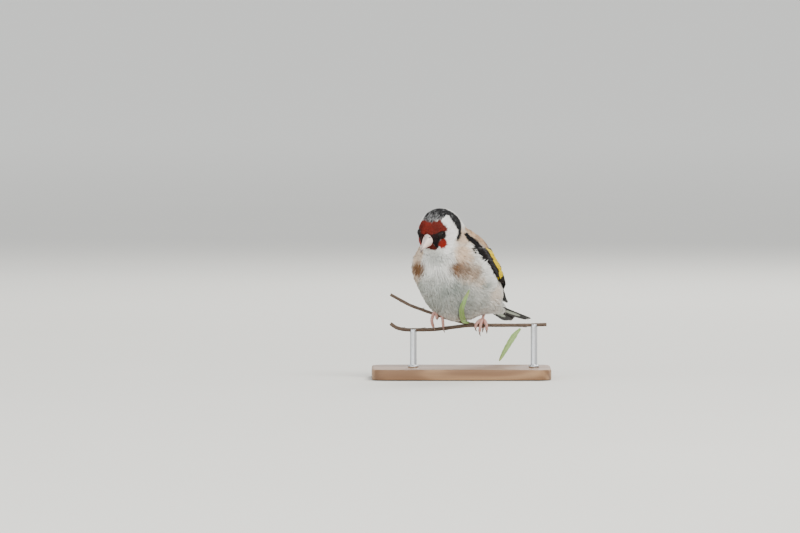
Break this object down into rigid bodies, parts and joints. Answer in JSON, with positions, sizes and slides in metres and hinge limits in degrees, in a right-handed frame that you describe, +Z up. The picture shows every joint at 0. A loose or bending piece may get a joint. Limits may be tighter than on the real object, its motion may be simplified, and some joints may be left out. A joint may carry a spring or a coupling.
{
  "type": "european goldfinch",
  "caption": "Life-size european goldfinch, fluffed up and looking down to its right, gripping a forked dry stem held over a flat display base.",
  "frame": {"origin": "centre of the underside of the stand's base", "axes": "+Z up, +Y to the back, the way the tail points, so that the bird faces -Y and a little to -X; +X along the stem, towards its free end on the bird's left"},
  "size_m": [0.086, 0.0974, 0.0819],
  "materials": {
    "plumage_head": "fine dense feathers: red face, black crown, white cheeks",
    "plumage_body": "soft loose feathers, white to tawny buff",
    "plumage_wing": "smooth vanes, black with a yellow band and pale tips",
    "plumage_tail": "smooth vanes, black with pale inner patches",
    "bill": "satin horn",
    "eye": "wet and dark",
    "leg": "fine scutes",
    "claw": "satin horn",
    "stem": "dry, finely ridged bark",
    "leaf": "thin green leaf",
    "stand_wood": "oiled wood",
    "stand_metal": "brushed"
  },
  "bodies": {
    "root": {"head": "plumage_head", "bill_upper": "bill", "bill_lower": "bill", "eye_left": "eye", "eye_right": "eye", "neck": "plumage_body", "torso": "plumage_body", "rump": "plumage_body", "tail": "plumage_tail", "wing_left": "plumage_wing", "wing_right": "plumage_wing", "tarsus_left": "leg", "foot_left": "leg", "tarsus_right": "leg", "foot_right": "leg", "perch_stem": "stem", "perch_twig": "stem", "perch_leaf_1": "leaf", "perch_leaf_2": "leaf", "stand_base": "stand_wood", "stand_rod_1": "stand_metal", "stand_rod_2": "stand_metal", "claw_left_1": "claw", "claw_left_2": "claw", "claw_left_3": "claw", "claw_left_4": "claw", "claw_right_1": "claw", "claw_right_2": "claw", "claw_right_3": "claw", "claw_right_4": "claw"}
  },
  "joints": []
}
